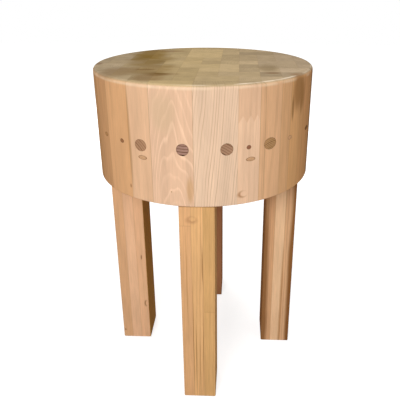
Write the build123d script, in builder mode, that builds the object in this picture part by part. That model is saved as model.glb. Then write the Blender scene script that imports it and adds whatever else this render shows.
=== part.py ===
from build123d import *
import os
from math import ceil, sqrt

# Round chopping block on four legs. Millimetres, +Z up, front towards -Y.
# The origin is on the floor, under the middle of the block.

os.makedirs("parts", exist_ok=True)

# Block: a round of upright end-grain staves, glued into rows that run left to right
block_diameter = 500.0
block_height = 250.0
top_rim_ease = 5.0
top_rim_corner_ease = 2.0
bottom_rim_ease = 1.5
row_depth = 46.5
stave_width = 43.2
grid_shift = 18.0
least_stave_width = 8.0

# Staves across each row, front row first, counted in stave widths from the leftmost column
first_column = -6
row_spans = (
    (1, 1, 1, 1, 2, 2, 1, 1, 1, 1),
    (1, 2, 1, 1, 1, 2, 1, 1, 2),
    (1, 1, 2, 1, 1, 1, 2, 1, 1, 1),
    (2, 1, 1, 1, 1, 1, 1, 1, 1, 2),
    (1, 1, 2, 1, 2, 1, 1, 2, 1),
    (1, 2, 1, 1, 1, 1, 1, 1, 2, 1),
    (1, 1, 1, 2, 1, 1, 1, 1, 1, 1, 1),
    (2, 1, 1, 1, 2, 1, 1, 1, 1, 1),
    (1, 2, 1, 1, 2, 1, 2, 1, 1),
    (1, 1, 1, 1, 1, 2, 1, 1, 1, 2),
    (1, 1, 1, 1, 1, 1, 2, 1, 1, 1, 1),
)

# Finger joints between the lengths of one stave or one leg board
finger_length = 15.0
finger_pitch = 6.2
jointed_row = 0
jointed_column = 2
stave_joint_share = 0.72

# Tie rods: four threaded steel rods clamp the rows from front to back
tie_rod_columns = (-3, -1, 1, 3)
tie_rod_level = 122.5
tie_rod_diameter = 12.0
tie_rod_hole_clearance = 0.5
tie_rod_proud = 3.0
seat_depth = 34.0
washer_diameter = 24.0
washer_thickness = 2.5
washer_bore_clearance = 0.5
nut_across_flats = 19.0
nut_thickness = 10.0
thread_clearance = 0.1

# Plugs: dark hardwood discs that close the counterbores, dressed flush with the round side
plug_diameter = 25.0
plug_length = 18.0
plug_clearance = 0.1

# Dowels: short ones pin the outer staves to the row behind, and one runs across the front row
row_dowel_columns = (-5, -4, 2, 4, 5)
dowel_diameter = 9.0
dowel_clearance = 0.1
row_dowel_least_hold = 10.0
row_dowel_bite = 20.0
cross_dowel_level = 97.0
cross_dowel_inset = 25.0

# Legs: square-cut posts, each glued up from three boards
leg_width = 75.0
leg_depth = 90.0
leg_height = 510.0
front_leg_offset = 201.0
side_leg_offset = 191.0
leg_boards = 3
leg_arris = 2.0
foot_arris = 3.0

# Leg fixing: a double-ended wood screw joins each leg to the block's underside
leg_screw_diameter = 12.0
leg_screw_in_leg = 65.0
leg_screw_in_block = 65.0
leg_screw_clearance = 0.1
leg_screw_end_gap = 3.0

# One overrun serves every cut that has to pass through a surface
overrun = 5.0

block_radius = block_diameter / 2
underside = leg_height
rod_height = underside + tie_rod_level
cross_dowel_height = underside + cross_dowel_level
rows_each_side = ceil((block_radius - row_depth / 2) / row_depth)
row_count = 2 * rows_each_side + 1
cross_dowel_y = cross_dowel_inset - block_radius


def column_centre(column):
    """Middle of a column of staves, left to right."""
    return grid_shift + column * stave_width


def within_round(columns):
    """The columns that the round still holds, clear of its side by a quarter of a stave."""
    return [c for c in columns if abs(column_centre(c)) < block_radius - stave_width / 4]


def rim_reach(offset):
    """Distance from the middle to the round side, at this offset from the middle line."""
    return sqrt(block_radius ** 2 - offset ** 2)


def row_dowel_end(start):
    """A little behind the first glue line between rows that gives the dowel enough hold."""
    line = ceil((start + row_dowel_least_hold) / row_depth + 1 / 2)
    return (line - 1 / 2) * row_depth + row_dowel_bite


def save(piece, name):
    piece.label = name
    export_step(piece, "parts/" + name + ".step")


def group(pieces, name):
    save(Compound(children=list(pieces)), name)


# Outline of the finished block: a turned disc, its top rim rounded in three flats as a hand plane
# leaves it, and its bottom rim just eased

with BuildPart() as outline:
    with BuildSketch(Plane.XZ) as half_section:
        with Locations((0, underside)):
            Rectangle(block_radius, block_height, align=(Align.MIN, Align.MIN))
        top_corner = half_section.vertices().group_by(Axis.Y)[-1].sort_by(Axis.X)[-1]
        chamfer(top_corner, top_rim_ease)
        rim_corners = half_section.vertices().sort_by_distance(top_corner)[:2]
        chamfer(rim_corners, top_rim_corner_ease)
        bottom_corner = half_section.vertices().group_by(Axis.Y)[0].sort_by(Axis.X)[-1]
        chamfer(bottom_corner, bottom_rim_ease)
    revolve(axis=Axis.Z)


# Drillings: every hole that is bored through the glued-up block

leg_places = {
    "front": (0, -front_leg_offset),
    "right": (side_leg_offset, 0),
    "back": (0, front_leg_offset),
    "left": (-side_leg_offset, 0),
}


def along_y(x, z, start, end, radius):
    """A cylinder that runs from front to back at this place."""
    with BuildPart() as bar:
        with BuildSketch(Plane.XZ.offset(-start)):
            with Locations((x, z)):
                Circle(radius)
        extrude(amount=-(end - start))
    return bar.part


def along_x(y, z, reach, radius):
    """A cylinder that runs the same way to the left and right of the middle."""
    with BuildPart() as bar:
        with BuildSketch(Plane.YZ):
            with Locations((y, z)):
                Circle(radius)
        extrude(amount=reach, both=True)
    return bar.part


with BuildPart() as drillings:
    for column in within_round(tie_rod_columns):
        rod_x = column_centre(column)
        seat = rim_reach(rod_x) - seat_depth
        outside = block_radius + overrun
        rod_hole_radius = tie_rod_diameter / 2 + tie_rod_hole_clearance
        counterbore_radius = plug_diameter / 2 + plug_clearance
        add(along_y(rod_x, rod_height, -outside, outside, rod_hole_radius))
        add(along_y(rod_x, rod_height, -outside, -seat, counterbore_radius))
        add(along_y(rod_x, rod_height, seat, outside, counterbore_radius))
    dowel_hole_radius = dowel_diameter / 2 + dowel_clearance
    for column in within_round(row_dowel_columns):
        dowel_x = column_centre(column)
        dowel_end = row_dowel_end(-rim_reach(dowel_x))
        add(along_y(dowel_x, rod_height, -outside, dowel_end, dowel_hole_radius))
    add(along_x(cross_dowel_y, cross_dowel_height, block_radius, dowel_hole_radius))
    for leg_x, leg_y in leg_places.values():
        with BuildSketch(Plane.XY.offset(underside)):
            with Locations((leg_x, leg_y)):
                Circle(leg_screw_diameter / 2 + leg_screw_clearance)
        extrude(amount=leg_screw_in_block + leg_screw_end_gap)


# Finger joint: the board is parted along a zigzag that shows on its left and right faces

def lower_length(board, keep, bottom, level):
    """Part of the board under the zigzag, or above it, as the mode says."""
    box = board.bounding_box()
    fingers = max(1, round(box.size.Y / finger_pitch))
    pitch = box.size.Y / fingers
    low = level - finger_length / 2
    high = level + finger_length / 2
    zigzag = []
    for finger in range(fingers):
        zigzag.append((box.min.Y + finger * pitch, low))
        zigzag.append((box.min.Y + (finger + 1 / 2) * pitch, high))
    zigzag.append((box.max.Y, low))
    corners = [(box.max.Y, bottom - overrun), (box.min.Y, bottom - overrun)]
    with BuildPart() as length:
        add(board)
        with BuildSketch(Plane.YZ.offset(box.min.X)):
            with BuildLine():
                Polyline(*zigzag, *corners, close=True)
            make_face()
        extrude(amount=box.size.X, mode=keep)
    return length.part


def finger_jointed(board, bottom, level):
    """The two lengths of a board that a finger joint holds end to end."""
    lower = lower_length(board, Mode.INTERSECT, bottom, level)
    upper = lower_length(board, Mode.SUBTRACT, bottom, level)
    return [lower, upper]


# Staves: each row is a slab of the round, bored, then parted at its glue lines

def row_slab(near, far):
    with BuildPart() as slab:
        with BuildSketch(Plane.XY.offset(underside)):
            with Locations((0, (near + far) / 2)):
                Rectangle(block_diameter, far - near)
        extrude(amount=block_height)
        add(outline.part, mode=Mode.INTERSECT)
        add(drillings.part, mode=Mode.SUBTRACT)
    return slab.part


def row_seams(row, reach):
    """Glue lines of one row; an end stave that would be a sliver stays with its neighbour."""
    seams = [-block_radius]
    column = first_column
    for span in row_spans[row % len(row_spans)]:
        column += span
        seam = column_centre(column) - stave_width / 2
        if abs(seam) < reach - least_stave_width:
            seams.append(seam)
    seams.append(block_radius)
    return seams


def stave(slab, left, right, near, far):
    with BuildPart() as piece:
        add(slab)
        with BuildSketch(Plane.XY.offset(underside)):
            with Locations(((left + right) / 2, (near + far) / 2)):
                Rectangle(right - left, far - near)
        extrude(amount=block_height, mode=Mode.INTERSECT)
    return piece.part


for row in range(row_count):
    near = max((row - rows_each_side - 1 / 2) * row_depth, -block_radius)
    far = min((row - rows_each_side + 1 / 2) * row_depth, block_radius)
    slab = row_slab(near, far)
    reach = rim_reach(min(abs(near), abs(far)))
    seams = row_seams(row, reach)
    joint_seam = column_centre(jointed_column) - stave_width / 2
    staves = []
    for left, right in zip(seams, seams[1:]):
        piece = stave(slab, left, right, near, far)
        if row == jointed_row and left == joint_seam:
            level = underside + stave_joint_share * block_height
            staves.extend(finger_jointed(piece, underside, level))
        else:
            staves.append(piece)
    group(staves, f"stave_row_{row + 1:02d}")


# Tie rods, with a washer and a nut in the bottom of each counterbore

rods = []
washers = {-1: [], 1: []}
nuts = {-1: [], 1: []}
plugs = {-1: [], 1: []}

for column in within_round(tie_rod_columns):
    rod_x = column_centre(column)
    surface = rim_reach(rod_x)
    seat = surface - seat_depth
    rod_end = seat + washer_thickness + nut_thickness + tie_rod_proud

    with BuildPart() as rod:
        with BuildSketch(Plane.XZ):
            with Locations((rod_x, rod_height)):
                Circle(tie_rod_diameter / 2)
        extrude(amount=rod_end, both=True)
    rods.append(rod.part)

    for side in (-1, 1):
        seat_plane = Plane.XZ.offset(-side * seat)
        nut_plane = Plane.XZ.offset(-side * (seat + washer_thickness))
        plug_plane = Plane.XZ.offset(-side * (surface - plug_length))

        with BuildPart() as washer:
            with BuildSketch(seat_plane):
                with Locations((rod_x, rod_height)):
                    Circle(washer_diameter / 2)
                    Circle(tie_rod_diameter / 2 + washer_bore_clearance, mode=Mode.SUBTRACT)
            extrude(amount=-side * washer_thickness)
        washers[side].append(washer.part)

        with BuildPart() as nut:
            with BuildSketch(nut_plane):
                with Locations((rod_x, rod_height)):
                    RegularPolygon(nut_across_flats / 2, 6, major_radius=False)
                    Circle(tie_rod_diameter / 2 + thread_clearance, mode=Mode.SUBTRACT)
            extrude(amount=-side * nut_thickness)
        nuts[side].append(nut.part)

        with BuildPart() as plug:
            with BuildSketch(plug_plane):
                with Locations((rod_x, rod_height)):
                    Circle(plug_diameter / 2)
            extrude(amount=-side * block_radius)
            add(outline.part, mode=Mode.INTERSECT)
        plugs[side].append(plug.part)

group(rods, "tie_rods")
group(washers[-1], "front_washers")
group(washers[1], "rear_washers")
group(nuts[-1], "front_nuts")
group(nuts[1], "rear_nuts")
group(plugs[-1], "front_plugs")
group(plugs[1], "rear_plugs")


# Dowels: blind at the back end, and dressed flush with the round side

row_dowels = []
for column in within_round(row_dowel_columns):
    dowel_x = column_centre(column)
    dowel_end = row_dowel_end(-rim_reach(dowel_x))
    with BuildPart() as row_dowel:
        add(along_y(dowel_x, rod_height, -block_radius, dowel_end, dowel_diameter / 2))
        add(outline.part, mode=Mode.INTERSECT)
    row_dowels.append(row_dowel.part)
group(row_dowels, "row_dowels")

with BuildPart() as cross_dowel:
    add(along_x(cross_dowel_y, cross_dowel_height, block_radius, dowel_diameter / 2))
    add(outline.part, mode=Mode.INTERSECT)
save(cross_dowel.part, "cross_dowel")


# Legs: three upright boards each, with eased edges, bored from the top for the screw

board_joint_shares = {
    "front": (0.925, 0, 0.5),
    "right": (0, 0, 0),
    "back": (0, 0, 0),
    "left": (0, 0, 0),
}

for name, (leg_x, leg_y) in leg_places.items():
    with BuildPart() as blank:
        with BuildSketch():
            with Locations((leg_x, leg_y)):
                Rectangle(leg_width, leg_depth)
        extrude(amount=leg_height)
        chamfer(blank.edges().filter_by(Axis.Z), leg_arris)
        chamfer(blank.faces().sort_by(Axis.Z)[0].edges(), foot_arris)
        with Locations((leg_x, leg_y, leg_height)):
            Hole(leg_screw_diameter / 2 + leg_screw_clearance, leg_screw_in_leg + leg_screw_end_gap)
    board_width = leg_width / leg_boards
    boards = []
    for number, joint_share in enumerate(board_joint_shares[name]):
        left = leg_x - leg_width / 2 + number * board_width
        with BuildPart() as board:
            add(blank.part)
            with BuildSketch():
                with Locations((left, leg_y)):
                    Rectangle(board_width, leg_depth, align=(Align.MIN, Align.CENTER))
            extrude(amount=leg_height, mode=Mode.INTERSECT)
        if joint_share > 0:
            boards.extend(finger_jointed(board.part, 0, joint_share * leg_height))
        else:
            boards.append(board.part)
    group(boards, name + "_leg")


# Leg screws: half in the leg, half in the block

leg_screws = []
for leg_x, leg_y in leg_places.values():
    with BuildPart() as leg_screw:
        with BuildSketch(Plane.XY.offset(underside - leg_screw_in_leg)):
            with Locations((leg_x, leg_y)):
                Circle(leg_screw_diameter / 2)
        extrude(amount=leg_screw_in_leg + leg_screw_in_block)
    leg_screws.append(leg_screw.part)

group(leg_screws, "leg_screws")
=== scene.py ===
import math

import bmesh
import bpy
import numpy as np
from mathutils import Matrix


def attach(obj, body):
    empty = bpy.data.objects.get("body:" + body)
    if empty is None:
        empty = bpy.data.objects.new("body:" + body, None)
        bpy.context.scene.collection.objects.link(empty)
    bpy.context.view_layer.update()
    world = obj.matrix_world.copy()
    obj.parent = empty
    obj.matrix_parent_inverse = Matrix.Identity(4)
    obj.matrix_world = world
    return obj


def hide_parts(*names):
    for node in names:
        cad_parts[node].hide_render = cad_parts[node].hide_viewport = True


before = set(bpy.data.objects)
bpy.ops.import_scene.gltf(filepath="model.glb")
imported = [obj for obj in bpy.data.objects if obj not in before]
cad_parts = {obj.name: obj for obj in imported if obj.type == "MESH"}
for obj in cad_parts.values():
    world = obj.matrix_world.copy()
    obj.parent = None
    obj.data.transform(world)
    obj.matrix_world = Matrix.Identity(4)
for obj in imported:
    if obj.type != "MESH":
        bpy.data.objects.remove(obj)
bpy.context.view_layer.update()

# The block itself: a round of upright staves of hard acacia wood, glued side by side in eleven rows that
# run left to right, then turned and sanded as one piece. Sizes are in millimetres, as on the drawing.
block_radius = 250.0
block_height = 250.0
underside = 510.0
block_top = underside + block_height
top_rim_radius = 8.0
bottom_rim_radius = 2.0
rim_support = 0.8
row_depth = 46.5
stave_width = 43.2
grid_shift = 18.0
least_stave_width = 8.0
out_of_reach = 4000.0

# How fine the shells are: points on each arc of a stave in the outer and the inner rows, the depth at which
# the outer rows begin, the angle past which an edge is sharp, and the distance at which points are merged
outer_row_points = 52
inner_row_points = 24
outer_row_depth = 200.0
sharp_angle = math.radians(32)
merge_distance = 0.002

# How many columns wide each stave is, from left to right, row by row from the front
first_column = -6
row_spans = (
    (1, 1, 1, 1, 2, 2, 1, 1, 1, 1),
    (1, 2, 1, 1, 1, 2, 1, 1, 2),
    (1, 1, 2, 1, 1, 1, 2, 1, 1, 1),
    (2, 1, 1, 1, 1, 1, 1, 1, 1, 2),
    (1, 1, 2, 1, 2, 1, 1, 2, 1),
    (1, 2, 1, 1, 1, 1, 1, 1, 2, 1),
    (1, 1, 1, 2, 1, 1, 1, 1, 1, 1, 1),
    (2, 1, 1, 1, 2, 1, 1, 1, 1, 1),
    (1, 2, 1, 1, 2, 1, 2, 1, 1),
    (1, 1, 1, 1, 1, 2, 1, 1, 1, 2),
    (1, 1, 1, 1, 1, 1, 2, 1, 1, 1, 1),
)


def linear(colour):
    """An sRGB hex colour as linear light with an alpha of 1: each channel c becomes ((c + 0.055) / 1.055) to
    the power 2.4."""
    channels = np.array([int(colour[i:i + 2], 16) for i in (1, 3, 5)]) / 255
    channels = np.where(channels <= 0.04045, channels / 12.92, ((channels + 0.055) / 1.055) ** 2.4)
    return (*channels.tolist(), 1.0)


def column_centre(column):
    """Middle of a column of staves: the grid's shift plus the column's number times the stave width."""
    return grid_shift + column * stave_width


def nearest_depth(near, far):
    """Least distance from the middle plane to what lies between near and far, 0 where they straddle it."""
    return 0.0 if near < 0 < far else min(abs(near), abs(far))


def ring_shell(rings):
    """A closed shell through rings of points, given as an array of (level, point, xyz) from the bottom up.
    Neighbouring rings are joined by quads, and the first and last ring are closed by one flat face each."""
    levels, count = rings.shape[:2]
    along, around = np.meshgrid(np.arange(levels - 1), np.arange(count), indexing="ij")
    after = (around + 1) % count
    low = along * count
    high = low + count
    quads = np.stack([low + around, low + after, high + after, high + around], axis=-1)
    faces = quads.reshape(-1, 4).tolist()
    faces.append(list(range(count))[::-1])
    faces.append(list(range((levels - 1) * count, levels * count)))
    mesh = bpy.data.meshes.new("shell")
    mesh.from_pydata(rings.reshape(-1, 3).tolist(), [], faces)
    work = bmesh.new()
    work.from_mesh(mesh)
    bmesh.ops.remove_doubles(work, verts=work.verts, dist=merge_distance)
    bmesh.ops.recalc_face_normals(work, faces=work.faces)
    work.to_mesh(mesh)
    work.free()
    return mesh


def round_outline(left, right, near, far, radius):
    """Outline of a rectangle cut by the round, for an array of the round's radii. At each x the depth runs
    from the larger of near and -h to the smaller of far and h, where h is the root of radius² - x². Both
    long edges are followed at even angles where the round cuts them, and straight between these arcs."""
    reach = np.sqrt(radius ** 2 - nearest_depth(near, far) ** 2)
    start = np.maximum(left, -reach)
    end = np.minimum(right, reach)
    outer_row = max(abs(near), abs(far)) > outer_row_depth
    share = np.linspace(0, 1, outer_row_points if outer_row else inner_row_points)
    edges = []
    for limit, sign in ((near, -1), (far, 1)):
        kink = np.sqrt(np.maximum(radius ** 2 - max(sign * limit, 0) ** 2, 0))
        kink_left = np.clip(-kink, start, end)
        kink_right = np.clip(kink, start, end)
        angles = []
        for first, last in ((start, kink_left), (kink_right, end)):
            first_angle = np.arcsin(np.clip(first / radius, -1, 1))
            last_angle = np.arcsin(np.clip(last / radius, -1, 1))
            angles.append(first_angle[:, None] + (last_angle - first_angle)[:, None] * share)
        angle = np.concatenate(angles, axis=1)
        x = radius[:, None] * np.sin(angle)
        depth = radius[:, None] * np.cos(angle)
        y = np.maximum(limit, -depth) if sign < 0 else np.minimum(limit, depth)
        edges.append(np.stack([x, y], axis=-1))
    return np.concatenate([edges[0], edges[1][:, ::-1]], axis=1)


def stave_shell(left, right, near, far):
    """One stave: its outline at each level from the underside to the top. The level z and the round's
    radius follow a quarter circle at the bottom rim, a straight side, and a larger quarter circle on top."""
    low = np.linspace(0, math.pi / 2, 4)
    high = np.linspace(0, math.pi / 2, 9)
    radius = np.concatenate([
        [block_radius - bottom_rim_radius - rim_support],
        block_radius - bottom_rim_radius * (1 - np.sin(low)),
        [block_radius, block_radius],
        block_radius - top_rim_radius * (1 - np.cos(high)),
        [block_radius - top_rim_radius - rim_support],
    ])
    level = np.concatenate([
        [underside],
        underside + bottom_rim_radius * (1 - np.cos(low)),
        [underside + bottom_rim_radius + rim_support, block_top - top_rim_radius - rim_support],
        block_top - top_rim_radius * (1 - np.sin(high)),
        [block_top],
    ])
    outline = round_outline(left, right, near, far, radius)
    height = np.broadcast_to(level[:, None, None], outline.shape[:2] + (1,))
    return ring_shell(np.concatenate([outline, height], axis=-1))


def turned_bar(places, radii, centre, axis, segments=20):
    """A turned bar: a circle carried along the x, y or z axis through these places, with one radius for all
    of them or one for each."""
    angle = np.arange(segments) * 2 * math.pi / segments
    places = np.array(places, float)
    radii = np.broadcast_to(radii, places.shape)
    across = (axis + 1) % 3, (axis + 2) % 3
    rings = np.zeros((len(places), segments, 3))
    rings[..., axis] = places[:, None]
    rings[..., across[0]] = centre[0] + radii[:, None] * np.cos(angle)
    rings[..., across[1]] = centre[1] + radii[:, None] * np.sin(angle)
    return ring_shell(rings)


def shell_box(mesh):
    """Lowest and highest corner of a shell."""
    points = np.zeros(len(mesh.vertices) * 3)
    mesh.vertices.foreach_get("co", points)
    points = points.reshape(-1, 3)
    return points.min(0), points.max(0)


def carved(mesh, tools, operation="DIFFERENCE"):
    """The shell after these tool shells are cut from it, or after only what lies inside them is kept."""
    low, high = shell_box(mesh)
    for tool in tools:
        tool_low, tool_high = shell_box(tool)
        if np.any(tool_low > high) or np.any(tool_high < low):
            continue
        work = bpy.data.objects.new("work", mesh)
        cutter = bpy.data.objects.new("cutter", tool)
        bpy.context.scene.collection.objects.link(work)
        bpy.context.scene.collection.objects.link(cutter)
        boolean = work.modifiers.new("cut", "BOOLEAN")
        boolean.operation = operation
        boolean.solver = "EXACT"
        boolean.object = cutter
        bpy.context.view_layer.update()
        graph = bpy.context.evaluated_depsgraph_get()
        mesh = bpy.data.meshes.new_from_object(work.evaluated_get(graph))
        bpy.data.objects.remove(work)
        bpy.data.objects.remove(cutter)
    return mesh


def wooden_piece(name, shells, material, slot, *nodes):
    """One piece of many closed shells laid end to end in metres. Every shell is a mesh and its facts: the
    colours, the place of the growth rings and the glue lines, which each of its points carries."""
    points = []
    corners = []
    starts = []
    counts = []
    corner_count = 0
    for mesh, _ in shells:
        co = np.zeros(len(mesh.vertices) * 3)
        mesh.vertices.foreach_get("co", co)
        vertex = np.zeros(len(mesh.loops), np.int32)
        mesh.loops.foreach_get("vertex_index", vertex)
        start = np.zeros(len(mesh.polygons), np.int32)
        mesh.polygons.foreach_get("loop_start", start)
        points.append(co)
        corners.append(vertex + sum(counts))
        starts.append(start + corner_count)
        counts.append(len(mesh.vertices))
        corner_count += len(mesh.loops)
    joined = bpy.data.meshes.new(name)
    joined.vertices.add(sum(counts))
    joined.vertices.foreach_set("co", np.concatenate(points) / 1000)
    joined.loops.add(corner_count)
    joined.loops.foreach_set("vertex_index", np.concatenate(corners))
    joined.polygons.add(sum(len(start) for start in starts))
    joined.polygons.foreach_set("loop_start", np.concatenate(starts))
    joined.update(calc_edges=True)
    joined.polygons.foreach_set("use_smooth", np.ones(len(joined.polygons), bool))
    joined.set_sharp_from_angle(angle=sharp_angle)
    for fact in shells[0][1]:
        values = np.repeat([facts[fact] for _, facts in shells], counts, axis=0)
        layer = joined.attributes.new(fact, "FLOAT_VECTOR", "POINT")
        layer.data.foreach_set("vector", values.ravel())
    joined.validate()
    piece = bpy.data.objects.new(name, joined)
    bpy.context.scene.collection.objects.link(piece)
    joined.materials.append(material)
    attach(piece, "root")
    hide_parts(*nodes)


def node_adder(owner):
    """Empties the node tree of a material or a world, and gives the function that adds its nodes. The kind
    is Blender's own name without ShaderNode in front. An input is a plain value, a node whose first output
    is meant, or a pair of a node and the name of its output."""
    owner.use_nodes = True
    tree = owner.node_tree
    tree.nodes.clear()

    def add(kind, inputs, operation=None, **settings):
        node = tree.nodes.new("ShaderNode" + kind)
        if operation:
            node.operation = operation
        for name, value in settings.items():
            setattr(node, name, value)
        for socket, value in inputs.items():
            if isinstance(value, bpy.types.Node):
                tree.links.new(value.outputs[0], node.inputs[socket])
            elif isinstance(value, tuple) and isinstance(value[0], bpy.types.Node):
                tree.links.new(value[0].outputs[value[1]], node.inputs[socket])
            else:
                node.inputs[socket].default_value = value
        return node

    return add


# What the wooden materials share: soft ends for a ramp, the number of a Mix node's colour output, white,
# the two directions across the grain, and the brown of late wood and of glue
soft = {"interpolation_type": "SMOOTHSTEP"}
mix_colour = 2
white = (1.0, 1.0, 1.0, 1.0)
across_grain = (1.0, 1.0, 0.0)
late_wood_tint = "#9A6B3C"
glue_shade = "#8A6238"


def wood_space(name, grain_order, facts):
    """A new wooden material with what all of them read: the place in millimetres, the same with the grain
    turned upright, the facts that every piece of wood carries, a shift that gives each piece its own noise,
    and slow waves 60 mm across that are several times longer along the grain."""
    material = bpy.data.materials.new(name)
    add = node_adder(material)
    place = add("TexCoord", {})
    mm = add("VectorMath", {0: (place, "Object"), "Scale": 1000.0}, "SCALE")
    axes = add("SeparateXYZ", {0: mm})
    turned = {i: (axes, axis.upper()) for i, axis in enumerate(grain_order)}
    wood = {"mm": mm, "axes": axes, "grain": add("CombineXYZ", turned)}
    for fact in facts:
        attribute = add("Attribute", {}, attribute_name=fact)
        wood[fact] = (attribute, "Vector")
        wood[fact + " parts"] = add("SeparateXYZ", {0: wood[fact]})
    wood["seed"] = add("VectorMath", {0: (31.0, 57.0, 83.0), "Scale": (wood["lean parts"], "Z")}, "SCALE")
    long_waves = add("VectorMath", {0: wood["grain"], 1: (1.0, 1.0, 0.22), 2: wood["seed"]}, "MULTIPLY_ADD")
    waves = add("TexNoise", {"Vector": long_waves, "Scale": 1 / 60, "Detail": 2.0})
    wood["waves"] = add("VectorMath", {0: (waves, "Color"), 1: (0.5, 0.5, 0.5)}, "SUBTRACT")
    return material, add, wood


def growth_rings(add, wood):
    """Late wood, from 0 to 1, and the same times this piece's contrast. A point's distance to the pith,
    divided by the width of a year's growth, gives the year it grew in and the season. The pith leans along
    the grain and sways with the slow waves, so the same rings show as lines or arches on a side and as arcs
    on an end. No two years are equally dark."""
    height = add("SeparateXYZ", {0: wood["grain"]})
    leaning = add("VectorMath", {0: wood["lean"], "Scale": (height, "Z")}, "SCALE")
    sway = add("VectorMath", {0: wood["waves"], "Scale": (wood["figure parts"], "Y")}, "SCALE")
    from_pith = add("VectorMath", {0: wood["grain"], 1: wood["pith"]}, "SUBTRACT")
    upright = add("VectorMath", {0: from_pith, 1: leaning}, "SUBTRACT")
    swayed = add("VectorMath", {0: upright, 1: sway}, "ADD")
    flat = add("VectorMath", {0: swayed, 1: across_grain}, "MULTIPLY")
    distance = add("VectorMath", {0: flat}, "LENGTH")
    years = add("Math", {0: (distance, "Value"), 1: (wood["pith parts"], "Z")}, "DIVIDE")
    year = add("Math", {0: years}, "FLOOR")
    season = add("Math", {0: years}, "FRACT")
    rise = add("MapRange", {"Value": season, "From Min": 0.56, "From Max": 0.86}, **soft)
    fall = add("MapRange", {"Value": season, "From Min": 0.86, "From Max": 1.0, "To Min": 1.0,
               "To Max": 0.0}, **soft)
    late = add("Math", {0: rise, 1: fall}, "MULTIPLY")
    year_seed = add("Math", {0: year, 1: (wood["lean parts"], "Z")}, "ADD")
    harvest = add("TexWhiteNoise", {"W": year_seed}, noise_dimensions="1D")
    strength = add("MapRange", {"Value": harvest, "To Min": 0.15, "To Max": 1.1})
    late_wood = add("Math", {0: late, 1: strength}, "MULTIPLY")
    rings = add("Math", {0: late_wood, 1: (wood["figure parts"], "X")}, "MULTIPLY")
    return late_wood, rings


def fibre_light(add, wood, depth, cloud_depth):
    """Light and dark of the fibres, about 1.5 mm wide and 40 mm long, coarser than real ones so that they
    show, times soft clouds 22 mm across. It returns the fibres too, which shape the sheen and the relief."""
    fibre_place = add("VectorMath", {0: wood["grain"], 1: (1.0, 1.0, 0.04), 2: wood["seed"]}, "MULTIPLY_ADD")
    fibres = add("TexNoise", {"Vector": fibre_place, "Scale": 0.6, "Detail": 4.0, "Roughness": 0.62})
    fibre_shade = add("MapRange", {"Value": fibres, "From Min": 0.3, "From Max": 0.7, "To Min": 1.0 - depth,
                      "To Max": 1.0 + depth}, clamp=False)
    cloud_place = add("VectorMath", {0: wood["grain"], 1: (1.0, 1.0, 0.16), 2: wood["seed"]}, "MULTIPLY_ADD")
    clouds = add("TexNoise", {"Vector": cloud_place, "Scale": 1 / 22, "Detail": 3.0})
    cloud_shade = add("MapRange", {"Value": clouds, "From Min": 0.3, "From Max": 0.7,
                      "To Min": 1.0 - cloud_depth, "To Max": 1.0 + cloud_depth}, clamp=False)
    shade = add("Math", {0: fibre_shade, 1: cloud_shade}, "MULTIPLY")
    return fibres, shade


def ringed(add, tone, rings, ring_tint, shade):
    """A tone of wood, times the ring tint where the late wood lies, times the light and dark of its fibres.
    Rings below zero come out paler than the tone."""
    tint = add("Mix", {"Factor": rings, "A": white, "B": linear(ring_tint)}, data_type="RGBA",
               clamp_factor=False)
    tinted = add("VectorMath", {0: tone, 1: (tint, mix_colour)}, "MULTIPLY")
    return add("VectorMath", {0: tinted, "Scale": shade}, "SCALE")


def blended(add, share, first, second):
    """The first colour, giving way to the second where the share nears 1."""
    mix = add("Mix", {"Factor": share, "A": first, "B": second}, data_type="RGBA")
    return mix, mix_colour


def glue_lines(add, wood):
    """Thin brown lines, 1 to 2 mm wide, where the piece of wood ends and meets its neighbours: the distance
    to the nearest side of its cell, times how strongly this piece shows its seams."""
    above_low = add("VectorMath", {0: wood["mm"], 1: wood["cell_low"]}, "SUBTRACT")
    below_high = add("VectorMath", {0: wood["cell_high"], 1: wood["mm"]}, "SUBTRACT")
    to_side = add("VectorMath", {0: above_low, 1: below_high}, "MINIMUM")
    sides = add("SeparateXYZ", {0: to_side})
    across = add("Math", {0: (sides, "X"), 1: (sides, "Y")}, "MINIMUM")
    nearest = add("Math", {0: across, 1: (sides, "Z")}, "MINIMUM")
    line = add("MapRange", {"Value": nearest, "From Min": 0.3, "From Max": 1.2, "To Min": 1.0,
               "To Max": 0.0}, **soft)
    return add("Math", {0: line, 1: (wood["figure parts"], "Z")}, "MULTIPLY")


def knotted(add, wood, colour, centre, size, shade, strength, shift=(0.0, 0.0, 0.0), hollow=0.0):
    """The colour with a knot, a streak or a patch of heartwood: an ellipsoid of this half size and shade,
    with soft, uneven edges. A hollow of this share of the size leaves a pale middle, and its shift, also in
    shares of the size, opens the ring on that side."""
    offset = add("VectorMath", {0: wood["mm"], 1: centre}, "SUBTRACT")
    squeezed = add("VectorMath", {0: offset, 1: tuple(1 / s for s in size), 2: wood["waves"]},
                   "MULTIPLY_ADD")
    distance = add("VectorMath", {0: squeezed}, "LENGTH")
    eye = add("MapRange", {"Value": (distance, "Value"), "From Min": 0.4, "From Max": 1.1,
              "To Min": strength, "To Max": 0.0}, **soft)
    if hollow:
        shifted = add("VectorMath", {0: squeezed, 1: shift}, "SUBTRACT")
        middle = add("VectorMath", {0: shifted}, "LENGTH")
        open_middle = add("MapRange", {"Value": (middle, "Value"), "From Min": hollow * 0.6,
                          "From Max": hollow * 1.2}, **soft)
        eye = add("Math", {0: eye, 1: open_middle}, "MULTIPLY")
    return blended(add, eye, colour, linear(shade))


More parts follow.
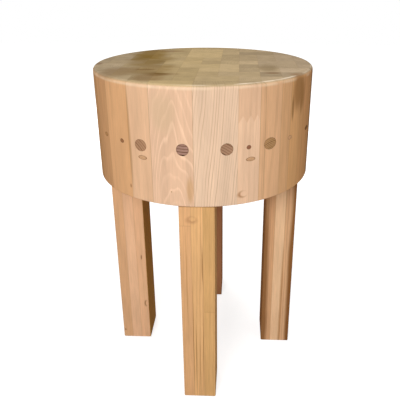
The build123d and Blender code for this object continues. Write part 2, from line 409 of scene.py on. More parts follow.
def oiled_surface(add, colour, fibres, rings, roughness, relief_height):
    """Oiled, sanded wood, a bit duller along the fibres, with a faint relief. The oil soaks in, so nothing
    mirrors the white room and the wood stays warm where it is seen at a flat angle."""
    sheen = add("MapRange", {"Value": fibres, "From Min": 0.3, "From Max": 0.7, "To Min": roughness - 0.05,
                "To Max": roughness + 0.08})
    relief = add("Math", {0: rings, 1: fibres}, "ADD")
    bump = add("Bump", {"Height": relief, "Distance": relief_height / 1000, "Strength": 0.5})
    surface = add("BsdfPrincipled", {"Base Color": colour, "Roughness": sheen, "Specular IOR Level": 0.0,
                  "Normal": bump})
    add("OutputMaterial", {"Surface": surface})


def rim_highlight_line(add, wood, level, half_width, left_strength, right_strength):
    """A painted highlight round the rim: a broken pale line at this level. Its strength goes from left
    to right, times slow noise 45 mm across."""
    above = add("Math", {0: (wood["axes"], "Z"), 1: level}, "SUBTRACT")
    off_line = add("Math", {0: above}, "ABSOLUTE")
    line = add("MapRange", {"Value": off_line, "From Max": half_width, "To Min": 1.0, "To Max": 0.0}, **soft)
    strength = add("MapRange", {"Value": (wood["axes"], "X"), "From Min": -60.0, "From Max": 60.0,
                   "To Min": left_strength, "To Max": right_strength})
    highlight_noise = add("TexNoise", {"Vector": wood["mm"], "Scale": 1 / 45, "Detail": 2.0})
    uneven = add("MapRange", {"Value": highlight_noise, "From Min": 0.4, "From Max": 0.6})
    line = add("Math", {0: line, 1: strength}, "MULTIPLY")
    return add("Math", {0: line, 1: uneven}, "MULTIPLY")


def block_material():
    """Oiled acacia for the block: warm side grain with brown late wood, khaki end grain on top, where the
    oil sinks in and the glue lines are sanded faint. A pale band of painted highlight runs round the rim,
    with a thin paler painted highlight at its upper edge."""
    facts = ("tone", "top_tone", "pith", "lean", "figure", "cell_low", "cell_high")
    material, add, wood = wood_space("oiled_acacia_block", "xyz", facts)
    late_wood, rings = growth_rings(add, wood)
    fibres, shade = fibre_light(add, wood, depth=0.07, cloud_depth=0.07)
    side = ringed(add, wood["tone"], rings, late_wood_tint, shade)
    end_rings = add("Math", {0: late_wood, 1: 0.18}, "MULTIPLY")
    end = ringed(add, wood["top_tone"], end_rings, "#A58A5E", shade)
    on_top = add("MapRange", {"Value": (wood["axes"], "Z"), "From Min": block_top - 6.0,
                 "From Max": block_top - 1.0}, **soft)
    colour = blended(add, on_top, side, end)
    sanded_away = add("MapRange", {"Value": on_top, "To Min": 1.0, "To Max": 0.5})
    seams = add("Math", {0: glue_lines(add, wood), 1: sanded_away}, "MULTIPLY")
    colour = blended(add, seams, colour, linear(glue_shade))

    # Painted highlights round the rim: level, half width, strength at the left and at the right, shade
    painted_rim_highlights = (
        (block_top - 7.0, 5.0, 0.42, 0.4, "#F8E0BE"),
        (block_top - 1.0, 0.9, 0.05, 0.9, "#F8E6CC"),
    )
    for *line, highlight_colour in painted_rim_highlights:
        colour = blended(add, rim_highlight_line(add, wood, *line), colour, linear(highlight_colour))

    # Knots, then brown heartwood, on the side: middle, half size, shade, strength, shift and hollow
    side_marks = (
        ((93.0, -232.0, 532.0), (12.0, 14.0, 9.5), "#A8744C", 1.0, (0.3, 0.0, 0.1), 0.78),
        ((-140.5, -207.0, 536.0), (2.6, 8.0, 5.5), "#A87850", 0.8),
        ((-50.0, -245.0, 541.0), (1.6, 6.0, 2.0), "#A8774F", 0.8),
        ((-136.0, -210.0, 640.0), (4.0, 14.0, 120.0), "#9F7440", 0.5),
        ((-12.0, -249.0, 545.0), (9.0, 14.0, 34.0), "#C2935F", 0.55),
        ((-62.0, -240.0, 705.0), (34.0, 16.0, 55.0), "#CEAF8C", 0.55),
        ((208.0, -138.0, 728.0), (28.0, 34.0, 52.0), "#946639", 0.66),
        ((194.0, -157.0, 694.0), (4.5, 7.0, 30.0), "#7E5830", 0.6),
    )
    for mark in side_marks:
        colour = knotted(add, wood, colour, *mark)

    # Patches of dark oil and heartwood on the top, most at the left: place, half size, shade, strength
    top_patches = (
        ((-172.0, -125.0), (50.0, 66.0, 12.0), "#8A6C46", 0.5),
        ((-142.0, 120.0), (56.0, 100.0, 12.0), "#84620E", 0.64),
        ((-128.0, 20.0), (62.0, 90.0, 12.0), "#806018", 0.56),
        ((-102.0, -95.0), (62.0, 80.0, 12.0), "#84642A", 0.5),
        ((-84.0, -147.0), (44.0, 24.0, 8.0), "#6C4C22", 0.5),
        ((-120.0, -96.0), (26.0, 14.0, 6.0), "#6A4820", 0.4),
        ((-77.0, -141.0), (20.0, 12.0, 6.0), "#634018", 0.4),
        ((-98.0, -185.0), (40.0, 44.0, 10.0), "#8A683E", 0.45),
        ((-100.0, 172.0), (44.0, 14.0, 8.0), "#7E5632", 0.55),
        ((-238.0, -30.0), (12.0, 16.0, 8.0), "#6A4630", 0.5),
        ((150.0, -125.0), (22.0, 11.0, 6.0), "#7E5834", 0.55),
        ((147.0, -62.0), (27.0, 52.0, 8.0), "#8A7450", 0.5),
    )
    for place, *patch in top_patches:
        colour = knotted(add, wood, colour, (*place, block_top), *patch)
    oiled_surface(add, colour, fibres, rings, roughness=0.48, relief_height=0.12)
    return material


def grain_facts(hex_tone, pith, ring_width, lean, seed, contrast, sway, seam=0.0, **others):
    """What the points of one piece of wood carry: its tone, the place of its pith and the width of a ring,
    the lean of its pith and a seed, and its figure, which is the contrast of the rings, their sway in
    millimetres and the strength of its seams."""
    return {
        "tone": linear(hex_tone)[:3],
        "pith": (*pith, ring_width),
        "lean": (*lean, seed),
        "figure": (contrast, sway, seam),
        **others,
    }


block_wood = block_material()
block_middle = underside + block_height / 2

# What is seen of single staves, by row and leftmost column, both counted as above: side tone, pith at mid
# height, ring width, lean, contrast, sway and strength of the seams. The other staves draw theirs at random.
known_staves = {
    (0, -3): ("#E0B590", (-110.0, -120.0), 9.0, (0.01, 0.02), 0.06, 12.0, 0.08),
    (0, -2): ("#E0B898", (-32.0, -196.0), 4.1, (0.01, 0.10), -0.24, 26.0, 0.5),
    (0, 0): ("#E3C2A4", (230.0, -200.0), 5.4, (0.09, 0.0), 0.36, 16.0, 0.12),
    (0, 2): ("#E8C09E", (150.0, -120.0), 9.0, (0.02, 0.0), 0.10, 10.0, 0.12),
    (0, 3): ("#DFB086", (170.0, -120.0), 10.0, (0.0, 0.0), 0.12, 8.0, 0.4),
    (1, -5): ("#DCA97A", (-160.0, -60.0), 15.0, (0.02, 0.0), 0.08, 16.0, 0.12),
    (1, 3): ("#E1B186", (150.0, -60.0), 14.0, (0.0, 0.03), 0.14, 12.0, 0.15),
    (1, 4): ("#D9A87A", (210.0, -90.0), 14.0, (0.0, 0.0), 0.18, 12.0, 0.15),
    (2, -5): ("#CC9A6D", (-250.0, -90.0), 12.0, (0.0, 0.0), 0.2, 8.0, 0.2),
    (2, 4): ("#DEA974", (240.0, -60.0), 12.0, (0.0, 0.0), 0.1, 8.0, 0.3),
    (2, 5): ("#D8A26E", (280.0, -60.0), 12.0, (0.0, 0.0), 0.1, 8.0, 0.1),
    (3, -6): ("#C49466", (-280.0, -40.0), 12.0, (0.0, 0.0), 0.2, 8.0, 0.2),
    (3, 4): ("#D79F6B", (280.0, -40.0), 12.0, (0.0, 0.0), 0.15, 8.0, 0.1),
    (4, 5): ("#AE7E54", (290.0, -20.0), 12.0, (0.0, 0.0), 0.2, 8.0, 0.2),
}
side_tones = ("#DCAE82", "#E2B991", "#D3A275", "#E0B38A", "#CC9A6D", "#D8AB7E")
plain_figure = 0.3, 14.0, 0.25

# End grain: brown at the left, olive in the middle, greyer at the right, by the stave's place across. The
# grey at the right is partly a painted sheen. A few staves are paler or browner than their neighbours,
# which differ by a tenth at most.
end_tone_places = (-200.0, -40.0, 200.0)
end_tones = ("#AD997C", "#C1A87B", "#B9A386")
pale_ends = (3, 0), (3, 1), (3, 4), (4, -6), (4, -5), (4, 1), (5, 2), (7, -1), (8, -1), (9, -1)
pale_light = 1.16
brown_ends = (1, -3), (2, -3), (2, 3), (5, -3), (6, -4), (7, -4), (8, 2), (9, -4), (10, -3)
brown_light = 0.82

# Bores for what holds the staves: tie rods with wide seats for their nuts and plugs, short dowels from the
# front, a dowel across the front row and the screws of the legs. Each is a little wider than its part.
peg_level = 632.5
rod_columns = (-3, -1, 1, 3)
rod_bore_radius = 6.5
seat_radius = 12.6
seat_depth = 34.0
dowel_columns = (-5, -4, 2, 4, 5)
dowel_bore_radius = 4.6
dowel_bite = 20.0
thin_wood = 10.0
cross_dowel_place = -225.0, 607.0
leg_places = {
    "front_leg": (0.0, -201.0),
    "right_leg": (191.0, 0.0),
    "back_leg": (0.0, 201.0),
    "left_leg": (-191.0, 0.0),
}
screw_bore_radius = 6.1
screw_foot = 442.0
screw_tip = 578.0
tool_overlap = 5.0


def side_of_round(offset):
    """Distance from the middle plane to the round side: the root of radius² - offset²."""
    return np.sqrt(block_radius ** 2 - offset ** 2)


def dowel_end(dowel_x):
    """Where a short dowel stops: its bite behind the back face of the row in which it starts at the round
    side. A row with less than the thinnest wood there is passed over."""
    start = thin_wood - side_of_round(dowel_x)
    return (math.ceil(start / row_depth + 0.5) - 0.5) * row_depth + dowel_bite


bores = []
outside = block_radius + tool_overlap
for rod_column in rod_columns:
    rod_x = column_centre(rod_column)
    rod_seat = side_of_round(rod_x) - seat_depth
    rod_places = (-outside, -rod_seat, -rod_seat, rod_seat, rod_seat, outside)
    rod_radii = (seat_radius, seat_radius, rod_bore_radius, rod_bore_radius, seat_radius, seat_radius)
    bores.append(turned_bar(rod_places, rod_radii, (peg_level, rod_x), 1, segments=32))
for dowel_column in dowel_columns:
    dowel_x = column_centre(dowel_column)
    bores.append(turned_bar((-outside, dowel_end(dowel_x)), dowel_bore_radius, (peg_level, dowel_x), 1))
bores.append(turned_bar((-block_radius, block_radius), dowel_bore_radius, cross_dowel_place, 0))
for leg_place in leg_places.values():
    bores.append(turned_bar((underside - 2 * tool_overlap, screw_tip), screw_bore_radius, leg_place, 2))

# The finger joint between the two lengths of one stave: its teeth, its place as a share of the block's
# height, and the tone of the upper length
finger_length = 15.0
finger_pitch = 6.2
jointed_stave = 0, 2
joint_share = 0.72
upper_length_tone = "#E1B794"


def finger_tool(low, high, level):
    """A prism under the zigzag of a finger joint: its outline in the y and z plane, with teeth on top, is
    carried along x."""
    teeth = max(1, round((high[1] - low[1]) / finger_pitch))
    near = low[1] - tool_overlap
    far = high[1] + tool_overlap
    bottom = low[2] - tool_overlap
    valley = level - finger_length / 2
    zigzag = valley + finger_length * (np.arange(2 * teeth + 1) % 2)
    y = np.concatenate([[near], np.linspace(low[1], high[1], 2 * teeth + 1), [far, far, near]])
    z = np.concatenate([[valley], zigzag, [valley, bottom, bottom]])
    side = np.stack([np.zeros_like(y), y, z], axis=-1)
    left_end = side + (low[0] - tool_overlap, 0, 0)
    right_end = side + (high[0] + tool_overlap, 0, 0)
    return ring_shell(np.stack([left_end, right_end]))


def finger_jointed(shell, level, lower, upper):
    """A stave or board as its two lengths, each with its facts: what lies under the zigzag, and the rest."""
    tool = finger_tool(*shell_box(shell), level)
    return [(carved(shell, [tool], "INTERSECT"), lower), (carved(shell, [tool], "DIFFERENCE"), upper)]


random_wood = np.random.default_rng(41)
last_row = len(row_spans) - 1
for row, spans in enumerate(row_spans):
    near = (row - len(row_spans) / 2) * row_depth
    far = near + row_depth
    near_side = near if row > 0 else -out_of_reach
    far_side = far if row < last_row else out_of_reach
    reach = side_of_round(nearest_depth(near, far))
    seams = [(-out_of_reach, first_column)]
    column = first_column
    for span in spans:
        column += span
        seam = column_centre(column) - stave_width / 2
        if abs(seam) < reach - least_stave_width:
            seams.append((seam, column))
        elif seam < 0:
            seams[0] = (-out_of_reach, column)
    seams.append((out_of_reach, column))
    shells = []
    for (left, key), (right, _) in zip(seams, seams[1:]):
        draws = random_wood.random(9)
        tone_draw, light_draw, turn_draw, away_draw, lean_x, lean_y, width_draw, _, seed_draw = draws
        middle = (max(left, -reach) + min(right, reach)) / 2, (near + far) / 2
        turn = turn_draw * 2 * math.pi
        away = 25 + 90 * away_draw
        pith = middle[0] + away * math.cos(turn), middle[1] + away * math.sin(turn)
        lean = (lean_x - 0.5) * 0.08, (lean_y - 0.5) * 0.08
        plain_tone = side_tones[int(tone_draw * len(side_tones))]
        plain_stave = plain_tone, pith, 3.0 + 4.5 * width_draw, lean, *plain_figure
        tone, pith, ring_width, lean, *figure = known_staves.get((row, key), plain_stave)
        end_tone = [np.interp(middle[0], end_tone_places, tones) for tones in zip(*map(linear, end_tones))]
        light = 0.9 + 0.2 * light_draw
        if (row, key) in pale_ends:
            light = pale_light
        elif (row, key) in brown_ends:
            light = brown_light
        end_tone = np.array(end_tone) * light
        root = pith[0] - lean[0] * block_middle, pith[1] - lean[1] * block_middle
        facts = grain_facts(tone, root, ring_width, lean, 1 + 20 * seed_draw, *figure,
                            top_tone=end_tone[:3], cell_low=(left, near_side, underside),
                            cell_high=(right, far_side, out_of_reach))
        shell = carved(stave_shell(left, right, max(near, -block_radius), min(far, block_radius)), bores)
        if (row, key) == jointed_stave:
            upper = dict(facts, tone=linear(upper_length_tone)[:3])
            shells += finger_jointed(shell, underside + joint_share * block_height, facts, upper)
        else:
            shells.append((shell, facts))
    node = f"stave_row_{row + 1:02d}"
    wooden_piece("staves_" + node[-2:], shells, block_wood, "stave_wood", node)

# Plugs and dowels: short turned pegs of darker wood, glued into the bored block and dressed flush with its
# round side. They show end grain, so their rings are arcs or bands across the face.
plug_radius = 12.5
plug_length = 18.0
dowel_radius = 4.5
dowel_ring_width = 2.2
dowel_sway = 2.0
plug_sway = 5.0
straight = (0.0, 0.0)


def flush_peg(centre, radius, axis, start, stop, segments=36):
    """A peg along the x or y axis whose ends follow a function of its offset across that axis: rings shrink
    towards the middle of each end, and every point lies on start(offset) or stop(offset)."""
    angle = np.arange(segments) * 2 * math.pi / segments
    shares = np.array([0.25, 0.6, 0.96, 1.0])
    end_shares = np.concatenate([shares, shares[::-1]])
    across = centre[0] + radius * end_shares[:, None] * np.cos(angle)
    height = centre[1] + radius * end_shares[:, None] * np.sin(angle)
    along = np.concatenate([start(across[:len(shares)]), stop(across[len(shares):])])
    rings = np.stack([across, along, height] if axis == 1 else [along, across, height], axis=-1)
    return ring_shell(rings)


def peg_material(name, grain_order, ring_tint):
    """A peg of brown hardwood: fine rings across its face and a darker line round its edge, partly glue and
    partly painted shade of the seam. The hub holds the peg's middle across the grain and its radius."""
    material, add, wood = wood_space(name, grain_order, ("tone", "pith", "lean", "figure", "hub"))
    _, rings = growth_rings(add, wood)
    fibres, shade = fibre_light(add, wood, depth=0.12, cloud_depth=0.08)
    colour = ringed(add, wood["tone"], rings, ring_tint, shade)
    from_hub = add("VectorMath", {0: wood["grain"], 1: wood["hub"]}, "SUBTRACT")
    across = add("VectorMath", {0: from_hub, 1: across_grain}, "MULTIPLY")
    distance = add("VectorMath", {0: across}, "LENGTH")
    to_edge = add("Math", {0: (wood["hub parts"], "Z"), 1: (distance, "Value")}, "SUBTRACT")
    # Darker towards the rim of the face: partly glue, partly painted shade of the seam
    edge = add("MapRange", {"Value": to_edge, "From Min": 0.2, "From Max": 1.3, "To Min": 0.6,
               "To Max": 0.0}, **soft)
    colour = blended(add, edge, colour, linear("#7A5336"))
    oiled_surface(add, colour, fibres, rings, roughness=0.52, relief_height=0.08)
    return material


# Plugs from left to right: tone, shift of the pith from the plug's middle, ring width and contrast
plug_wood = peg_material("dark_plug_end_grain", "xzy", "#7A5038")
plug_looks = (
    ("#AE8565", (-45.0, -40.0), 5.2, 0.7),
    ("#A37F6E", (8.0, 110.0), 6.5, 1.7),
    ("#A88266", (-50.0, -80.0), 5.0, 1.4),
    ("#B78D60", (15.0, -50.0), 3.7, 1.3),
)
for node, side in (("front_plugs", -1), ("rear_plugs", 1)):
    plugs = []
    for (hex_tone, pith_shift, ring_width, contrast), rod_column in zip(plug_looks, rod_columns):
        rod_x = column_centre(rod_column)
        back = side * (side_of_round(rod_x) - plug_length)
        ends = [lambda u: np.full_like(u, back), lambda u: side * side_of_round(u)]
        if side < 0:
            ends.reverse()
        shell = flush_peg((rod_x, peg_level), plug_radius, 1, *ends)
        pith = rod_x - side * pith_shift[0], peg_level + pith_shift[1]
        seed = 13.0 + rod_column + 5 * side
        facts = grain_facts(hex_tone, pith, ring_width, straight, seed, contrast, plug_sway,
                            hub=(rod_x, peg_level, plug_radius))
        plugs.append((shell, facts))
    wooden_piece("plugs_" + node[:-6], plugs, plug_wood, "plug_wood", node)

dowel_wood = peg_material("brown_dowel_end_grain", "xzy", "#7A5238")
dowel_tones = ("#B8885A", "#9A6C4A", "#96654C", "#D6A478", "#8E6540")
dowels = []
for hex_tone, dowel_column in zip(dowel_tones, dowel_columns):
    dowel_x = column_centre(dowel_column)
    back = dowel_end(dowel_x)
    shell = flush_peg((dowel_x, peg_level), dowel_radius, 1, lambda u: -side_of_round(u),
                      lambda u: np.full_like(u, back), segments=24)
    facts = grain_facts(hex_tone, (dowel_x + 14, peg_level + 7.5), dowel_ring_width, straight,
                        dowel_column + 9.0, 0.4, dowel_sway, hub=(dowel_x, peg_level, dowel_radius))
    dowels.append((shell, facts))
wooden_piece("dowels_row", dowels, dowel_wood, "dowel_wood", "row_dowels")

cross_dowel_wood = peg_material("brown_dowel_side_grain", "yzx", "#9A6B45")
shell = flush_peg(cross_dowel_place, dowel_radius, 0, lambda u: -side_of_round(u), side_of_round,
                  segments=28)
facts = grain_facts("#C89D76", (-240.0, 600.0), dowel_ring_width, straight, 5.0, 0.3, dowel_sway,
                    hub=(*cross_dowel_place, dowel_radius))
wooden_piece("dowel_cross", [(shell, facts)], cross_dowel_wood, "dowel_wood", "cross_dowel")

# Legs: square posts, each glued up from three upright boards of the same wood, planed, with eased edges.
# One screw in each holds it under the block. Two boards of the front leg are joined from two lengths.
leg_width = 75.0
leg_depth = 90.0
leg_height = underside
leg_arris = 2.0
foot_arris = 3.0
board_width = leg_width / 3
leg_seam = 0.18
joint_shares = {("front_leg", 0): 0.925, ("front_leg", 2): 0.5}
no_joint = -out_of_reach, 0.0, 6.0


def board_shell(centre_x, centre_y, number):
    """One board of a leg: a rectangle whose outer corners are quarter circles, carried upwards. At the foot
    its outer sides draw in along a quarter circle. Number 0 is the left board, 1 the middle, 2 the right."""
    low = np.linspace(0, math.pi / 2, 4)
    inset = np.concatenate([[foot_arris + rim_support], foot_arris * (1 - np.sin(low)), [0, 0]])
    level = np.concatenate([[0], foot_arris * (1 - np.cos(low)), [foot_arris + rim_support, leg_height]])
    left = centre_x - leg_width / 2 + number * board_width + inset * (number == 0)
    right = centre_x - leg_width / 2 + (number + 1) * board_width - inset * (number == 2)
    near = centre_y - leg_depth / 2 + inset
    far = centre_y + leg_depth / 2 - inset
    quarter = np.linspace(0, math.pi / 2, 5)
    sides = []
    for x, y, sign_x, sign_y, turn, outer in (
            (left, near, 1, 1, math.pi, number == 0), (right, near, -1, 1, 1.5 * math.pi, number == 2),
            (right, far, -1, -1, 0.0, number == 2), (left, far, 1, -1, 0.5 * math.pi, number == 0)):
        radius = leg_arris * outer
        corner_x = (x + sign_x * radius)[:, None] + radius * np.cos(turn + quarter)
        corner_y = (y + sign_y * radius)[:, None] + radius * np.sin(turn + quarter)
        sides.append(np.stack([corner_x, corner_y], axis=-1))
    outline = np.concatenate(sides, axis=1)
    height = np.broadcast_to(level[:, None, None], outline.shape[:2] + (1,))
    return ring_shell(np.concatenate([outline, height], axis=-1))


def leg_material():
    """Oiled acacia for the legs: side grain all round, thin brown seams between the three boards, a painted
    shade along the top under the block, and a faint line where two lengths of a board meet in fingers."""
    facts = ("tone", "pith", "lean", "figure", "cell_low", "cell_high", "joint")
    material, add, wood = wood_space("oiled_acacia_leg", "xyz", facts)
    _, rings = growth_rings(add, wood)
    fibres, shade = fibre_light(add, wood, depth=0.08, cloud_depth=0.08)
    colour = ringed(add, wood["tone"], rings, late_wood_tint, shade)

    # The zigzag of a finger joint climbs from its lower level by a finger's length and back in every pitch
    from_tooth = add("Math", {0: (wood["axes"], "Y"), 1: (wood["joint parts"], "Y")}, "SUBTRACT")
    half_pitch = add("Math", {0: (wood["joint parts"], "Z"), 1: 2.0}, "DIVIDE")
    tooth = add("Math", {0: from_tooth, 1: half_pitch}, "PINGPONG")
    tooth_share = add("Math", {0: tooth, 1: half_pitch}, "DIVIDE")
    zigzag = add("Math", {0: tooth_share, 1: finger_length, 2: (wood["joint parts"], "X")}, "MULTIPLY_ADD")
    above = add("Math", {0: (wood["axes"], "Z"), 1: zigzag}, "SUBTRACT")
    off_line = add("Math", {0: above}, "ABSOLUTE")
    joint_line = add("MapRange", {"Value": off_line, "From Min": 0.4, "From Max": 1.6, "To Min": 0.14,
                     "To Max": 0.0}, **soft)
    seams = add("Math", {0: glue_lines(add, wood), 1: joint_line}, "MAXIMUM")
    colour = blended(add, seams, colour, linear(glue_shade))
    # Painted shade along the top of each leg, just under the block
    painted_shade_under_block = add("MapRange", {"Value": (wood["axes"], "Z"), "From Min": leg_height - 3.0,
                      "From Max": leg_height - 1.0, "To Max": 0.6}, **soft)
    colour = blended(add, painted_shade_under_block, colour, linear("#7A5230"))

    # Knots, brown heartwood streaks and a painted shade: middle, half size, shade, strength, shift and
    # hollow
    marks = (
        ((-11.0, -246.0, 478.0), (16.0, 20.0, 11.0), "#B5835A", 0.6, (0.1, 0.0, 0.2), 0.5),
        ((-166.0, -45.0, 261.0), (2.2, 10.0, 9.0), "#7D5430", 0.75),
        ((-161.7, -45.0, 115.0), (5.0, 14.0, 13.0), "#8A6038", 0.8, (0.5, 0.0, 0.0), 0.7),
        ((-223.5, -45.0, 25.0), (3.0, 10.0, 4.0), "#9A6C40", 0.8),
        ((10.0, -246.0, 370.0), (1.4, 8.0, 60.0), "#80552A", 0.75),
        ((10.5, -246.0, 130.0), (1.3, 8.0, 150.0), "#8C6234", 0.6),
        ((-12.0, -246.0, 170.0), (1.3, 8.0, 190.0), "#936636", 0.65),
        ((-6.0, -246.0, 110.0), (1.2, 8.0, 130.0), "#936636", 0.65),
        ((3.0, -246.0, 70.0), (1.2, 8.0, 120.0), "#936636", 0.55),
        ((-24.0, -246.0, 340.0), (1.4, 8.0, 130.0), "#A8763F", 0.5),
        ((203.0, -45.0, 110.0), (4.0, 40.0, 190.0), "#A5713E", 0.55),
        # Painted shade on the inner side of the left leg, which faces away from the key lamp
        ((-153.5, -20.0, 255.0), (2.5, 150.0, 700.0), "#B5853C", 0.85),
        ((153.5, -20.0, 120.0), (15.0, 150.0, 600.0), "#865A32", 0.87),
        ((228.5, -45.0, 255.0), (14.0, 40.0, 700.0), "#885A30", 0.95),
        ((226.0, -45.0, 60.0), (9.0, 40.0, 200.0), "#80522C", 0.5),
    )
    for mark in marks:
        colour = knotted(add, wood, colour, *mark)
    oiled_surface(add, colour, fibres, rings, roughness=0.48, relief_height=0.12)
    return material


# The three boards of each leg from left to right: tone, pith at the floor, ring width, lean, contrast, sway
leg_wood = leg_material()
leg_boards = {
    "front_leg": (
        ("#D9A777", (-120.0, -240.0), 8.0, (0.012, 0.0), 0.16, 8.0),
        ("#E0AF79", (90.0, -235.0), 7.0, (0.014, 0.0), 0.34, 8.0),
        ("#D5A66E", (120.0, -250.0), 9.0, (0.01, 0.0), 0.18, 6.0)),
    "right_leg": (
        ("#D0A076", (90.0, -40.0), 6.0, (0.0, 0.0), 0.3, 8.0),
        ("#E9C097", (190.0, 60.0), 9.0, (0.0, 0.02), 0.22, 8.0),
        ("#D8AA80", (320.0, -30.0), 7.0, (0.0, 0.0), 0.3, 8.0)),
    "back_leg": (
        ("#C3956A", (-60.0, 240.0), 7.0, (0.0, 0.02), 0.4, 8.0),
        ("#C39064", (30.0, 250.0), 8.0, (0.01, 0.0), 0.4, 8.0),
        ("#B8825D", (80.0, 180.0), 6.0, (0.0, 0.0), 0.5, 8.0)),
    "left_leg": (
        ("#DBAB80", (-290.0, -40.0), 9.0, (0.01, 0.0), 0.12, 8.0),
        ("#E9BB94", (-191.0, 60.0), 12.0, (0.0, 0.03), 0.1, 8.0),
        ("#E7B78E", (-60.0, -40.0), 12.0, (0.0, 0.0), 0.1, 8.0)),
}
for name, (leg_x, leg_y) in leg_places.items():
    screw_hole = turned_bar((screw_foot, leg_height + tool_overlap), screw_bore_radius, (leg_x, leg_y), 2)
    shells = []
    for number, (hex_tone, pith, ring_width, lean, contrast, sway) in enumerate(leg_boards[name]):
        left = leg_x - leg_width / 2 + number * board_width
        cell_low = left if number > 0 else -out_of_reach, -out_of_reach, -out_of_reach
        # The cell ends at the block's underside, so a seam line is drawn there too, as painted shade
        cell_high = left + board_width if number < 2 else out_of_reach, out_of_reach, leg_height
        seed = 12.0 + number * 3 + leg_x / 40 + leg_y / 90
        facts = grain_facts(hex_tone, pith, ring_width, lean, seed, contrast, sway, leg_seam,
                            cell_low=cell_low, cell_high=cell_high, joint=no_joint)
        shell = carved(board_shell(leg_x, leg_y, number), [screw_hole])
        if (name, number) in joint_shares:
            low, high = shell_box(shell)
            level = joint_shares[name, number] * leg_height
            pitch = (high[1] - low[1]) / round((high[1] - low[1]) / finger_pitch)
            facts["joint"] = level - finger_length / 2, low[1], pitch
            upper = dict(facts, lean=(*lean, seed + 4.4))
            shells += finger_jointed(shell, level, facts, upper)
        else:
            shells.append((shell, facts))
    wooden_piece("boards_" + name, shells, leg_wood, "leg_wood", name)

# Tie rods, washers, nuts and leg screws: mild steel with a thin coat of bright zinc, all hidden in the wood.
# The coat gives a soft grey metal shine, and the rods and screws carry a rolled thread.


def zinc_material(name, thread_pitch=0.0, along=""):
    """Zinc-plated steel: a light grey metal, faintly mottled where the coat is uneven. A thread is a wave of
    this pitch along its axis."""
    material = bpy.data.materials.new(name)
    add = node_adder(material)
    place = add("TexCoord", {})
    mottle = add("TexNoise", {"Vector": (place, "Object"), "Scale": 250.0, "Detail": 3.0})
    coat = blended(add, mottle, linear("#AEB3B7"), linear("#C6CACC"))
    dull = add("MapRange", {"Value": mottle, "To Min": 0.28, "To Max": 0.42})
    height = mottle
    if thread_pitch:
        axes = add("SeparateXYZ", {0: (place, "Object")})
        half = thread_pitch / 2000
        height = add("Math", {0: (axes, along), 1: half}, "PINGPONG")
        height = add("Math", {0: height, 1: half}, "DIVIDE")
    bump = add("Bump", {"Height": height, "Distance": 0.0006, "Strength": 0.6})
    surface = add("BsdfPrincipled", {"Base Color": coat, "Metallic": 1.0, "Roughness": dull, "Normal": bump})
    add("OutputMaterial", {"Surface": surface})
    return material


zinc = zinc_material("zinc_plated_steel")
rod_thread = zinc_material("zinc_plated_thread_m12", thread_pitch=1.75, along="Y")
screw_thread = zinc_material("zinc_plated_wood_screw", thread_pitch=4.0, along="Z")
steel_parts = {
    "tie_rods": rod_thread, "leg_screws": screw_thread, "front_washers": zinc, "rear_washers": zinc,
    "front_nuts": zinc, "rear_nuts": zinc,
}
for name, finish in steel_parts.items():
    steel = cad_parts[name]
    steel.data.materials.clear()
    steel.data.materials.append(finish)

# The studio, in metres: a white floor in a white room, soft round lamps at the front left, the front right,
# above and behind, and the camera at the photo's angle.
floor_reach = 6.0


def background_rays(add):
    """1 for the rays that show the background: straight from the camera, mirrored, or through glass."""
    path = add("LightPath", {})
    shown = path, "Is Camera Ray"
    for kind in ("Is Glossy Ray", "Is Transmission Ray"):
        shown = add("Math", {0: shown, 1: (path, kind)}, "MAXIMUM")
    return shown


def placed(right, upward, back, place):
    """The matrix that puts a lamp or a camera at a place, with its own x, y and z axes along these three."""
    matrix = np.eye(4)
    matrix[:3] = np.stack([right, upward, back, place], axis=-1)
    return Matrix(matrix.tolist())


floor_mesh = bpy.data.meshes.new("floor")
floor_corners = (-1, -1), (1, -1), (1, 1), (-1, 1)
floor_mesh.from_pydata([(x * floor_reach, y * floor_reach, 0.0) for x, y in floor_corners], [],
                       [(0, 1, 2, 3)])
floor = bpy.data.objects.new("floor", floor_mesh)
bpy.context.scene.collection.objects.link(floor)

# Matt white floor paint: it takes the soft shadow of the legs, and glows white where it is the background,
# a little less round the feet than far away
floor_paint = bpy.data.materials.new("white_floor_paint")
add = node_adder(floor_paint)
floor_place = add("TexCoord", {})
away = add("VectorMath", {0: (floor_place, "Object")}, "LENGTH")
brightness = add("MapRange", {"Value": (away, "Value"), "From Min": 0.4, "From Max": 1.6, "To Min": 0.74,
                 "To Max": 1.0}, **soft)
glow = add("Math", {0: background_rays(add), 1: brightness}, "MULTIPLY")
paint = add("BsdfDiffuse", {"Color": linear("#C0C0C0")})
shine = add("Emission", {"Color": white, "Strength": glow})
both = add("AddShader", {0: paint, 1: shine})
add("OutputMaterial", {"Surface": both})
floor_mesh.materials.append(floor_paint)

# The room: plain white as the background, and a low even light on everything else
world = bpy.data.worlds.new("studio")
bpy.context.scene.world = world
add = node_adder(world)
backdrop = add("MapRange", {"Value": background_rays(add), "To Min": 0.27, "To Max": 1.0})
sky = add("Background", {"Color": white, "Strength": backdrop})
add("OutputWorld", {"Surface": sky})

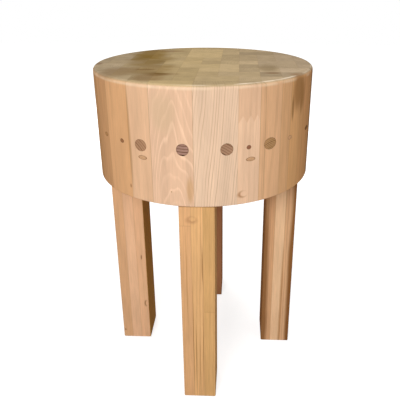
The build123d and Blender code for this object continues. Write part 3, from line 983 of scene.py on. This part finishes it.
# Lamps: name, place, width in metres and watts, all aimed at the middle of the object
lamps = (
    ("soft_key", (-0.5, -2.5, 1.7), 1.4, 52.0),
    ("soft_fill", (1.8, -1.6, 1.6), 1.8, 7.0),
    ("soft_top", (0.2, 0.2, 2.8), 2.0, 14.6),
    ("soft_back", (-0.9, 2.6, 1.1), 1.6, 34.0),
)
lamp_target = np.array([0.0, 0.0, 0.5])
for lamp_name, place, width, watts in lamps:
    lamp = bpy.data.lights.new(lamp_name, "AREA")
    lamp.shape = "DISK"
    lamp.size = width
    lamp.energy = watts
    holder = bpy.data.objects.new(lamp_name, lamp)
    bpy.context.scene.collection.objects.link(holder)
    ray = lamp_target - np.array(place)
    ray = ray / np.linalg.norm(ray)
    side = np.cross(ray, (0.0, 0.0, 1.0))
    side = side / np.linalg.norm(side)
    holder.matrix_world = placed(side, np.cross(side, ray), -ray, place)

# The camera: place in metres, angles in radians, focal length and the middle of its view in pixels of the
# photo's square frame
camera_place = np.array([0.082789, -1.138085, 0.951424])
camera_yaw = 0.0390
camera_pitch = 0.3737
camera_roll = 0.0004
focal_pixels = 488.125
principal_point = 220.0, 165.0
frame_pixels = 400
sensor_width = 36.0
ahead = np.array([-math.sin(camera_yaw) * math.cos(camera_pitch),
                  math.cos(camera_yaw) * math.cos(camera_pitch),
                  -math.sin(camera_pitch)])
level_right = np.array([math.cos(camera_yaw), math.sin(camera_yaw), 0.0])
level_up = np.cross(level_right, ahead)
right_axis = level_right * math.cos(camera_roll) + level_up * math.sin(camera_roll)
up_axis = level_up * math.cos(camera_roll) - level_right * math.sin(camera_roll)
camera_data = bpy.data.cameras.new("camera")
camera_data.sensor_width = sensor_width
camera_data.lens = focal_pixels / frame_pixels * sensor_width
camera_data.shift_x = (frame_pixels / 2 - principal_point[0]) / frame_pixels
camera_data.shift_y = (principal_point[1] - frame_pixels / 2) / frame_pixels
camera_data.clip_end = 50.0
camera = bpy.data.objects.new("camera", camera_data)
bpy.context.scene.collection.objects.link(camera)
camera.matrix_world = placed(right_axis, up_axis, -ahead, camera_place)
bpy.context.scene.camera = camera
bpy.context.scene.view_settings.view_transform = "Standard"
